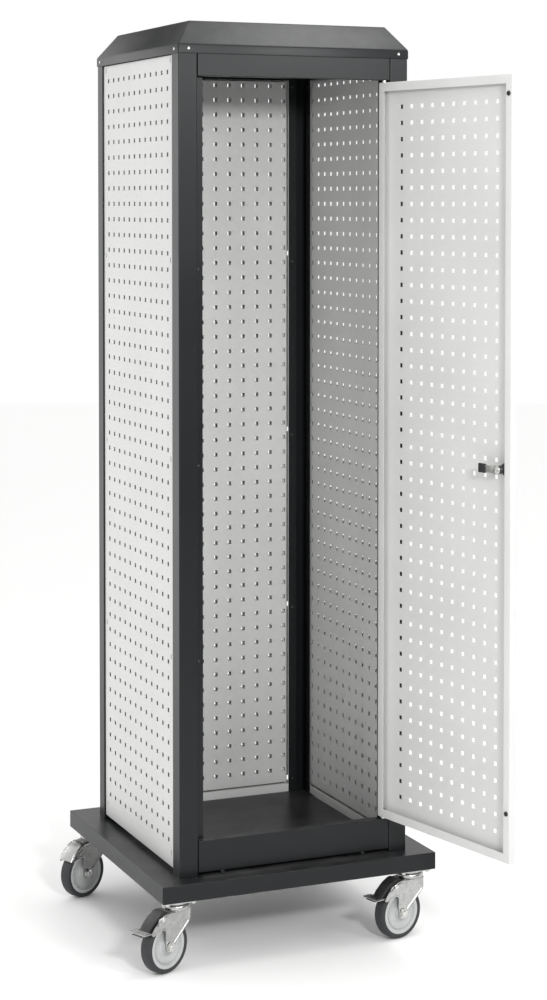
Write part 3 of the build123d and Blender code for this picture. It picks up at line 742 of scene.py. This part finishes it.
class TOWER_OT_door(Operator):
    """Make the door with its buffers, bushes and hinge pins"""

    bl_idname = "tower.door"
    bl_label = "Door"

    def execute(self, context):
        sizes = context.scene.tower_trays
        opened, hinge = door_frame()
        low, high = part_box("door_panel")
        height = high.z - low.z
        first_row = (height - (sizes.door_rows - 1) * sizes.pitch) / 2
        mesh = perforated_tray(
            sizes.door_width, height, sizes.door_depth, sizes.door_columns, sizes.door_rows,
            first_row)
        edge = hinge.x + sizes.hinge_in_x
        face = hinge.y - sizes.hinge_in_y
        place = Matrix.Translation((edge - sizes.door_width / 2, face, low.z))
        make_piece(
            "Door_sheet", mesh, "door", "panel_paint", ["door_panel"], sizes.skin,
            place=opened @ place)

        buffers = bmesh.new()
        profile = [(0, 0), (5.5, 0), (5.5, 1.8), (5.1, 2.6), (4.3, 3.1), (1.4, 3.2), (1.2, 2.0),
                   (0, 1.9)]
        lip_x = edge - sizes.door_width + sizes.lip / 2
        for z_low, z_high in ((b[0].z, b[1].z) for b in islands("door_buffers")):
            spot = (lip_x, face + sizes.door_depth, (z_low + z_high) / 2)
            add_part(buffers, turned(profile, 20), opened @ along((0, 1, 0), spot))
        make_piece("Door_buffers", buffers, "door", "buffer_rubber", ["door_buffers"])

        mesh = bmesh.new()
        lower, upper = sorted(islands("hinge_pins"), key=lambda box: box[0].z)
        for (low, high), collar_low in ((lower, 4.0), (upper, None)):
            tall = (high.z - low.z) / MM
            at = collar_low or tall - 7.9
            pin = [(0, 0), (2.5, 0), (3.0, 0.6), (3.0, at), (5.2, at), (5.5, at + 0.3),
                   (5.5, at + 3.5), (5.2, at + 3.8), (3.0, at + 3.8), (3.0, tall - 0.6),
                   (2.5, tall), (0, tall)]
            add_part(mesh, turned(pin, 24), Matrix.Translation((hinge.x, hinge.y, low.z)))
        make_piece("Pivot_hinge_pins", mesh, "tower", "zinc", ["hinge_pins"])

        mesh = bmesh.new()
        for low, high in islands("hinge_washers"):
            washer = [(3.0, 0), (5.5, 0), (5.5, 1.6), (3.0, 1.6)]
            spot = Matrix.Translation((hinge.x, hinge.y, low.z))
            add_part(mesh, turned(washer, 24), spot)
        make_piece("Pivot_hinge_washers", mesh, "tower", "zinc", ["hinge_washers"])
        keep_nodes("black_plastic", "hinge_bushes")
        return {"FINISHED"}


# ---------------------------------------------------------------- roof, frame and platform
class TOWER_OT_roof(Operator):
    """Make the hipped roof and its screws"""

    bl_idname = "tower.roof"
    bl_label = "Roof"

    def execute(self, context):
        sizes = context.scene.tower_roof
        low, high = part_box("roof_cap")
        mesh = bmesh.new()
        corners = ((low.x, low.y), (high.x, low.y), (high.x, high.y), (low.x, high.y))
        top = mesh.faces.new([mesh.verts.new((x, y, low.z)) for x, y in corners])
        middle = (low + high) / 2
        for level, inset in ((low.z + sizes.band, 0.0), (high.z, sizes.run)):
            made = bmesh.ops.extrude_face_region(mesh, geom=[top], use_keep_orig=True)["geom"]
            top = next(g for g in made if isinstance(g, bmesh.types.BMFace))
            for vert in top.verts:
                vert.co.z = level
                vert.co.x -= inset if vert.co.x > middle.x else -inset
                vert.co.y -= inset if vert.co.y > middle.y else -inset
        level_faces = [f for f in mesh.faces if len({round(v.co.z, 5) for v in f.verts}) == 1]
        unwanted = [f for f in level_faces if f is not top]
        bmesh.ops.delete(mesh, geom=unwanted, context="FACES_ONLY")
        bmesh.ops.remove_doubles(mesh, verts=mesh.verts, dist=1e-6)
        bmesh.ops.recalc_face_normals(mesh, faces=mesh.faces)
        top = max(mesh.faces, key=lambda f: f.calc_center_median().z)
        if top.normal.z < 0:
            bmesh.ops.reverse_faces(mesh, faces=mesh.faces)
        round_edges(mesh, sharp_edges(mesh, 0.3), sizes.fold, 4)
        make_piece("Roof_sheet", mesh, "tower", "frame_paint", ["roof_cap"], sizes.sheet)

        head = [(0, 0), (3.6, 0), (3.6, 0.3), (3.3, 1.0), (2.6, 1.55), (1.6, 1.7), (1.3, 0.7),
                (0, 0.7)]
        screws = screw_heads(
            "roof_screws", head, 16, lambda axis, spot: 1 if spot[axis] > middle[axis] else -1)
        make_piece("Roof_screws", screws, "tower", "zinc", ["roof_screws"])
        return {"FINISHED"}


class TOWER_OT_frame(Operator):
    """Finish the posts, header, sill and floor, and make the screws that hold the trays"""

    bl_idname = "tower.frame"
    bl_label = "Frame"

    def execute(self, context):
        posts = [f"post_{corner}" for corner in CORNERS]
        keep_nodes("frame_paint", *posts, "header", "sill", "floor_panel", "top_plate",
                   "upper_rails")
        centre = tower_centre()
        head = [(0, 0), (3.2, 0), (3.2, 0.4), (2.5, 1.0), (1.3, 1.2), (1.1, 0.5), (0, 0.5)]
        mesh = screw_heads(
            "panel_screws", head, 12,
            lambda axis, spot: -1 if axis == 1 or spot.x > centre.x else 1)
        make_piece("Tray_screws", mesh, "tower", "dark_steel", ["panel_screws"])
        return {"FINISHED"}


class TOWER_OT_platform(Operator):
    """Finish the platform and make its tie-down bolts"""

    bl_idname = "tower.platform"
    bl_label = "Platform"

    def execute(self, context):
        keep_nodes("frame_paint", "platform_tray", "platform_ribs")
        mesh = bmesh.new()
        washer = [(0, 0), (7.3, 0), (7.5, 0.3), (7.5, 1.2), (7.2, 1.5), (0, 1.5)]
        for low, high in islands("platform_bolts"):
            spot = standing(low, high)
            add_part(mesh, turned(washer, 28), spot)
            add_part(mesh, hexagon(11, 1.5, 6.6), spot)
            shank = [(0, 6.4), (3.2, 6.4), (3.2, 6.8), (2.9, 7.0), (0, 7.0)]
            add_part(mesh, turned(shank, 16), spot)
        make_piece("Tie_bolts", mesh, "tower", "dark_steel", ["platform_bolts"])
        return {"FINISHED"}


# ---------------------------------------------------------------- lock
def lock_place():
    """Matrix of the lock: X to the hinge along the door, Y into the cabinet, Z up."""
    joint = JOINTS["lock_turn"]
    inward = -Vector(joint["axis"]).normalized()
    up = Vector((0, 0, 1))
    across = inward.cross(up)
    place = Matrix((across, inward, up)).transposed().to_4x4()
    place.translation = Vector(joint["pos_m"])
    return place


class TOWER_OT_lock(Operator):
    """Make the cam lock: housing, nut, knob, tongue, screw and sleeve"""

    bl_idname = "tower.lock"
    bl_label = "Cam Lock"

    def execute(self, context):
        sizes = context.scene.tower_lock
        place = lock_place()
        on_axis = place @ along((0, 1, 0), (0, 0, 0))
        flange, tube = sizes.flange_radius / MM, sizes.housing_radius / MM
        bore, end = sizes.spindle_radius / MM + 0.07, sizes.housing_end / MM
        profile = [(bore, -2.4), (bore + 1, -3.0), (flange - 1.2, -3.0), (flange - 0.4, -2.6),
                   (flange, -1.8), (flange, 0), (tube, 0)]
        for turn in range(9):
            z = 8.0 + turn * 2.0
            profile += [(tube, z), (tube - 0.5, z + 1.0)]
        profile += [(tube, end), (bore, end)]
        mesh = turned(profile, 36)
        make_piece("Lock_housing", mesh, "door", "dark_steel", ["lock_housing"], place=on_axis)

        skin = context.scene.tower_trays.skin / MM
        mesh = hexagon(sizes.nut_flats / MM, skin, skin + 5.0, 1.0)
        make_piece("Lock_nut", mesh, "door", "dark_steel", ["lock_nut"], place=on_axis)

        knob = sizes.knob_radius / MM
        mesh = turned([(0, -8.3), (knob - 1.5, -8.3), (knob - 0.4, -7.8), (knob, -6.8),
                       (knob, -3.9), (knob - 0.6, -3.3), (5, -3.3), (5, end + 3.3),
                       (0, end + 3.3)], 36)
        mesh.transform(along((0, 1, 0), (0, 0, 0)))
        add_part(mesh, bar((-11, -17.3, -3.5), (11, -7.5, 3.5), 1.6, 3))
        make_piece("Lock_knob", mesh, "lock", "black_plastic", ["lock_knob"], place=place)

        front = end + 0.3
        back = front + sizes.tongue_sheet / MM
        reach = sizes.tongue_length / MM
        shape = outline(
            [(-10, -10), (6, -10), (16, -8), (reach, -8), (reach, 8), (16, 8), (6, 10), (-10, 10)],
            [(0, 9.5), (7, 9.5), (3, 2), (4, 2)])
        mesh = thickened(shape, front, back, 0.5, 2)
        make_piece("Lock_tongue", mesh, "lock", "zinc", ["lock_cam"], place=place)

        washer = [(0, back), (9, back), (9, back + 0.9), (8.6, back + 1.1), (0, back + 1.1)]
        mesh = turned(washer, 28)
        add_part(mesh, hexagon(13, back + 1.0, back + 4.0))
        make_piece("Tongue_screw", mesh, "lock", "zinc", ["cam_screw"], place=on_axis)

        mesh = bar((reach - 20, front - 2, -10.5), (reach + 2, back + 2, 10.5), 1.9, 3)
        add_part(mesh, bar((reach - 21.5, front - 0.8, -9), (reach - 19, back + 0.8, 9), 0.7, 2))
        make_piece("Tongue_sleeve", mesh, "lock", "black_plastic", ["cam_sleeve"], place=place)
        return {"FINISHED"}


# ---------------------------------------------------------------- casters
def caster_place(corner):
    """Matrix of a caster: Z up the swivel axis from the floor, the wheel trailing to -X."""
    swivel = Vector(JOINTS["swivel_" + corner]["pos_m"])
    wheel = Vector(JOINTS["wheel_" + corner]["pos_m"])
    forward = Vector((swivel.x - wheel.x, swivel.y - wheel.y, 0)).normalized()
    up = Vector((0, 0, 1))
    place = Matrix((forward, up.cross(forward), up)).transposed().to_4x4()
    place.translation = Vector((swivel.x, swivel.y, 0))
    return place


def pressed_fork(sizes, covered):
    """Pressed fork as a skin: two legs and a crown that runs back over the wheel."""
    half = sizes.fork_half / MM
    crown = sizes.crown / MM
    foot = sizes.wheel_radius / MM - sizes.boss / MM
    back, fore = (-(sizes.trail - side * sizes.boss) / MM for side in (-1, 1))
    points = [
        (back, foot), (fore, foot), (fore, 68), (26, 111), (26, crown), (-26, crown),
        (-52, 140.5), (-70.3, 131.8), (-85.4, 119), (-96.2, 103.2), (-91, 99), (-58, 108),
        (back, 101),
    ]
    shape = outline(points, [(0, 13), (1, 13), (2, 6), (3, 8), (10, 2), (11, 6)])
    mesh = thickened(shape, -half, half)
    top_low = 100.0 if covered else 135.0

    def is_cover(face):
        middle = face.calc_center_median() / MM
        if abs(face.normal.y) > 0.5:
            return True
        return face.normal.z > 0.35 and middle.z > top_low

    mesh.normal_update()
    bmesh.ops.delete(mesh, geom=[f for f in mesh.faces if not is_cover(f)], context="FACES")
    creases = [
        e for e in mesh.edges
        if e.is_manifold and sum(abs(f.normal.y) > 0.5 for f in e.link_faces) == 1]
    round_edges(mesh, creases, 5.0 * MM, 4)
    cheeks = [f for f in mesh.faces if abs(f.normal.y) > 0.95]
    bmesh.ops.inset_individual(mesh, faces=cheeks, thickness=3.2 * MM, depth=0.0)
    cheeks = [f for f in mesh.faces if abs(f.normal.y) > 0.95 and len(f.verts) > 8]
    bmesh.ops.inset_individual(mesh, faces=cheeks, thickness=1.4 * MM, depth=-1.1 * MM)
    return mesh


class TOWER_OT_casters(Operator):
    """Make the forks, swivel heads, seals, axle bolts and plate bolts of the four casters"""

    bl_idname = "tower.casters"
    bl_label = "Casters"

    def execute(self, context):
        sizes = context.scene.tower_casters
        crown = sizes.crown / MM
        half = sizes.fork_half / MM
        head = [(6.1, crown), (33, crown), (33.0, crown + 4.6), (32.2, crown + 7.6),
                (30, crown + 9.4), (26, crown + 10), (6.1, crown + 10)]
        seal = [(20, crown + 10), (27.5, crown + 10), (27.9, crown + 10.4), (20, crown + 10.4)]
        axle = Vector((-sizes.trail, 0, sizes.wheel_radius))
        for corner in CORNERS:
            place = caster_place(corner)
            swivel = "swivel_" + corner
            mesh = pressed_fork(sizes, corner not in BRAKED)
            make_piece(
                "Fork_" + corner, mesh, swivel, "caster_steel", ["fork_" + corner],
                sizes.fork_sheet, even=False, place=place)
            mesh = turned(head, 48)
            make_piece("Swivel_head_" + corner, mesh, swivel, "caster_steel", place=place)
            mesh = turned(seal, 40)
            make_piece("Seal_" + corner, mesh, swivel, "black_plastic", place=place)

            mesh = bmesh.new()
            washer = [(0, half), (11, half), (11.3, half + 0.4), (11.3, half + 1.2),
                      (11, half + 1.6), (0, half + 1.6)]
            for side in (-1, 1):
                at = Matrix.Translation(axle) @ along((0, side, 0), (0, 0, 0))
                add_part(mesh, turned(washer, 28), at)
                add_part(mesh, hexagon(18, half + 1.5, half + 6.4, 1.2), at)
            end = half + 8.4
            thread = [(0, half), (6, half)]
            for turn in range(3):
                thread += [(6, end - 2.6 + turn), (5.5, end - 2.1 + turn)]
            add_part(mesh, turned(thread + [(0, end - 0.1)], 20),
                     Matrix.Translation(axle) @ along((0, -1, 0), (0, 0, 0)))
            make_piece("Axle_" + corner, mesh, swivel, "zinc", ["axle_" + corner], place=place)
            keep_nodes("caster_steel", "caster_plate_" + corner, "kingpin_" + corner)

        mesh = bmesh.new()
        for low, high in islands("caster_bolts"):
            spot = standing(low, high)
            add_part(mesh, hexagon(9, 0, (high.z - low.z) / MM, 0.6), spot)
        make_piece("Plate_bolts", mesh, "tower", "zinc", ["caster_bolts"])
        return {"FINISHED"}


class TOWER_OT_wheels(Operator):
    """Make the wheel centres and tyres"""

    bl_idname = "tower.wheels"
    bl_label = "Wheels"

    def execute(self, context):
        sizes = context.scene.tower_casters
        outer, rim = sizes.wheel_radius / MM, sizes.rim_radius / MM
        face = [(6.07, 18), (9, 18), (11, 17.4), (14.4, 17), (15.4, 15.5), (16.4, 9.5), (19, 7.4),
                (25, 6.2), (33, 7.2), (37.5, 9.8), (38.8, 11.6), (39.8, 9.6), (41.0, 9.3),
                (42.2, 11.2), (43.4, 13.6), (45, 14.4), (49, 14.4), (rim, 13.8)]
        half = [(rim, 13.8), (rim + 0.9, 14.9), (rim + 2.2, 15.6), (rim + 4.6, 16.0),
                (rim + 7, 15.6), (rim + 7.4, 15.0), (rim + 7.8, 15.2), (outer - 2.4, 14.0),
                (outer - 1.0, 11.4), (outer - 0.25, 8.2), (outer, 4.4)]
        for corner in CORNERS:
            place = caster_place(corner)
            on_axle = place @ Matrix.Translation(
                (-sizes.trail, 0, sizes.wheel_radius)) @ along((0, 1, 0), (0, 0, 0))
            for name, profile, slot in (
                    ("rim", face, "wheel_centre"), ("tyre", half, "tyre_rubber")):
                ring = profile + [(radius, -width) for radius, width in profile[::-1]]
                mesh = turned(ring, 80)
                make_piece(
                    f"Wheel_{name}_{corner}", mesh, "wheel_" + corner, slot, [f"{name}_{corner}"],
                    place=on_axle)
        return {"FINISHED"}


class TOWER_OT_brakes(Operator):
    """Make the brake levers, foot pads and pivots of the front casters"""

    bl_idname = "tower.brakes"
    bl_label = "Brakes"

    def execute(self, context):
        sizes = context.scene.tower_casters
        half = sizes.fork_half / MM
        for corner in BRAKED:
            place = caster_place(corner)
            pivot = JOINTS["brake_" + corner]["pos_m"]
            local = place.inverted() @ Vector(pivot)
            x, z = local.x / MM, local.z / MM
            body = "brake_" + corner
            shape = outline(
                [(-40, 141), (-46, 147), (-56, 146.5), (-74, 137.5), (-90, 124), (-100, 112.5),
                 (-124, 107.6), (-124, 104), (-104, 104), (-95, 106.5), (-82, 119), (-66, 131),
                 (-50, 138)],
                [(1, 3), (7, 1.5)])
            mesh = thickened(shape, -15.5, 15.5, 1.6, 3)
            boss = turned([(3.07, -15.5), (6, -15.5), (6, 15.5), (3.07, 15.5)], 24)
            add_part(mesh, boss, along((0, 1, 0), (x * MM, 0, z * MM)))
            make_piece(
                "Pedal_cover_" + corner, mesh, body, "black_plastic", ["brake_pad_" + corner],
                place=place)
            mesh = bar((-125, -26, 107.9), (-101.5, 26, 111.0), 1.1, 2)
            for number in range(4):
                at = -121 + number * 4.6
                add_part(mesh, bar((at, -22, 110.4), (at + 1.8, 22, 111.8), 0.5, 2))
            make_piece(
                "Pedal_step_" + corner, mesh, body, "caster_steel", ["brake_pedal_" + corner],
                place=place)
            mesh = bmesh.new()
            head = [(0, half - 3), (3, half - 3), (3, half), (6, half), (5.8, half + 1.2),
                    (4.6, half + 2.2), (2.4, half + 2.9), (0, half + 3.0)]
            for side in (-1, 1):
                add_part(mesh, turned(head, 20), along((0, side, 0), (x * MM, 0, z * MM)))
            make_piece(
                "Pedal_rivet_" + corner, mesh, "swivel_" + corner, "zinc",
                ["brake_pivot_" + corner], place=place)
        return {"FINISHED"}


# ---------------------------------------------------------------- stage
# Lights: name, place, what they aim at, size, watts. Dark cards: name, place, aim, size.
LIGHTS = (
    ("Key", (-0.45, -4.2, 2.45), (0.1, 0.2, 0.85), (0.6, 0.35), 90),
    ("Header_light", (1.6, -3.8, 2.75), (0.1, 0.0, 1.6), (0.9, 0.6), 42),
    ("Left_card", (-1.9, 3.2, 1.3), (-0.3, 0.2, 1.1), (1.8, 2.8), 16),
    ("Roof_light", (0.8, -0.5, 3.9), (0.04, 0.0, 2.1), (1.2, 1.0), 30),
)
CARDS = (
    ("Rear_flag", (-0.4, 4.2, 3.9), (-0.2, 0.2, 2.1), (2.0, 1.1)),
    ("Front_flag", (1.6, -3.5, 0.9), (0.2, 0.0, 0.9), (6.0, 2.7)),
)
CAMERA_FROM_TOWER = (-2.045, -4.938, 1.763)
CAMERA_TURN = (radians(87.90), 0.0, radians(-23.16))
CAMERA_LENS = 78.56
CAMERA_SHIFT = -0.2186
FLOOR_RADIUS = 14.0


def stage_material(name, value, roughness):
    """Plain matt paint for the floor."""
    material, tree, shader, vector = start_material(name)
    noise = place_node(tree, "TexNoise", Vector=vector, Scale=1.5)
    tone = mix_colour(
        tree, noise.outputs[0], (value, value, value, 1), (value, value, value * 0.99, 1))
    tree.links.new(tone, shader.inputs["Base Color"])
    shader.inputs["Roughness"].default_value = roughness
    return material


def softbox(name, place, target, size, power):
    """Large soft light that isn't seen itself."""
    light = bpy.data.lights.new(name, "AREA")
    light.shape = "RECTANGLE"
    light.size, light.size_y = size
    light.energy = power
    lamp = bpy.data.objects.new(name, light)
    lamp.location = place
    lamp.rotation_euler = (Vector(target) - Vector(place)).to_track_quat("-Z", "Y").to_euler()
    lamp.visible_camera = False
    bpy.context.scene.collection.objects.link(lamp)


def flag(name, place, target, size):
    """Dark card that keeps light off the front, as in a studio; it isn't seen itself."""
    mesh = bmesh.new()
    corners = ((-1, -1), (1, -1), (1, 1), (-1, 1))
    mesh.faces.new([mesh.verts.new((x * size[0] / 2, y * size[1] / 2, 0)) for x, y in corners])
    mesh.transform(along(Vector(target) - Vector(place), place))
    data = bpy.data.meshes.new(name)
    mesh.to_mesh(data)
    mesh.free()
    data.materials.append(stage_material(name, 0.02, 0.9))
    card = bpy.data.objects.new(name, data)
    card.visible_camera = False
    bpy.context.scene.collection.objects.link(card)


class TOWER_OT_stage(Operator):
    """Make the floor, the lights and the camera"""

    bl_idname = "tower.stage"
    bl_label = "Stage"

    def execute(self, context):
        scene = context.scene
        mesh = bmesh.new()
        bmesh.ops.create_circle(mesh, cap_ends=True, segments=64, radius=FLOOR_RADIUS)
        data = bpy.data.meshes.new("Floor")
        mesh.to_mesh(data)
        mesh.free()
        floor = bpy.data.objects.new("Floor", data)
        data.materials.append(stage_material("Floor_paint", 0.97, 0.7))
        scene.collection.objects.link(floor)

        world = bpy.data.worlds.new("Studio")
        world.use_nodes = True
        world.node_tree.nodes["Background"].inputs[0].default_value = (1, 1, 1, 1)
        world.node_tree.nodes["Background"].inputs[1].default_value = 1.0
        scene.world = world

        for light in LIGHTS:
            softbox(*light)
        for card in CARDS:
            flag(*card)

        camera = bpy.data.cameras.new("Camera")
        camera.lens = CAMERA_LENS
        camera.sensor_width = 36.0
        camera.shift_y = CAMERA_SHIFT
        camera.clip_end = 60.0
        holder = bpy.data.objects.new("Camera", camera)
        centre, (x, y, z) = tower_centre(), CAMERA_FROM_TOWER
        holder.location = (centre.x + x, centre.y + y, z)
        holder.rotation_euler = CAMERA_TURN
        scene.collection.objects.link(holder)
        scene.camera = holder
        scene.view_settings.view_transform = "Standard"
        return {"FINISHED"}


# ---------------------------------------------------------------- add-on
class TOWER_PT_sidebar(Panel):
    """Tool tower in the sidebar"""

    bl_label = "Tool Tower"
    bl_space_type = "VIEW_3D"
    bl_region_type = "UI"
    bl_category = "Tool Tower"

    def draw(self, context):
        for operator in OPERATORS:
            self.layout.operator(operator.bl_idname)
        for name, _ in SETTINGS:
            group = getattr(context.scene, name)
            box = self.layout.box()
            for key in group.__annotations__:
                box.prop(group, key)


OPERATORS = (
    TOWER_OT_frame, TOWER_OT_panels, TOWER_OT_roof, TOWER_OT_platform, TOWER_OT_door,
    TOWER_OT_lock, TOWER_OT_casters, TOWER_OT_wheels, TOWER_OT_brakes, TOWER_OT_stage,
)
SETTINGS = (
    ("tower_trays", TrayProperties),
    ("tower_roof", RoofProperties),
    ("tower_lock", LockProperties),
    ("tower_casters", CasterProperties),
    ("tower_finish", FinishProperties),
)


def register():
    """Register the properties, the operators and the panel."""
    for name, group in SETTINGS:
        bpy.utils.register_class(group)
        setattr(bpy.types.Scene, name, PointerProperty(type=group))
    for made in (*OPERATORS, TOWER_PT_sidebar):
        bpy.utils.register_class(made)


def unregister():
    """Take everything out again."""
    for made in (TOWER_PT_sidebar, *reversed(OPERATORS)):
        bpy.utils.unregister_class(made)
    for name, group in reversed(SETTINGS):
        delattr(bpy.types.Scene, name)
        bpy.utils.unregister_class(group)


def main():
    """Build every piece and the stage."""
    register()
    for operator in OPERATORS:
        family, action = operator.bl_idname.split(".")
        getattr(getattr(bpy.ops, family), action)()


if __name__ == "__main__":
    main()
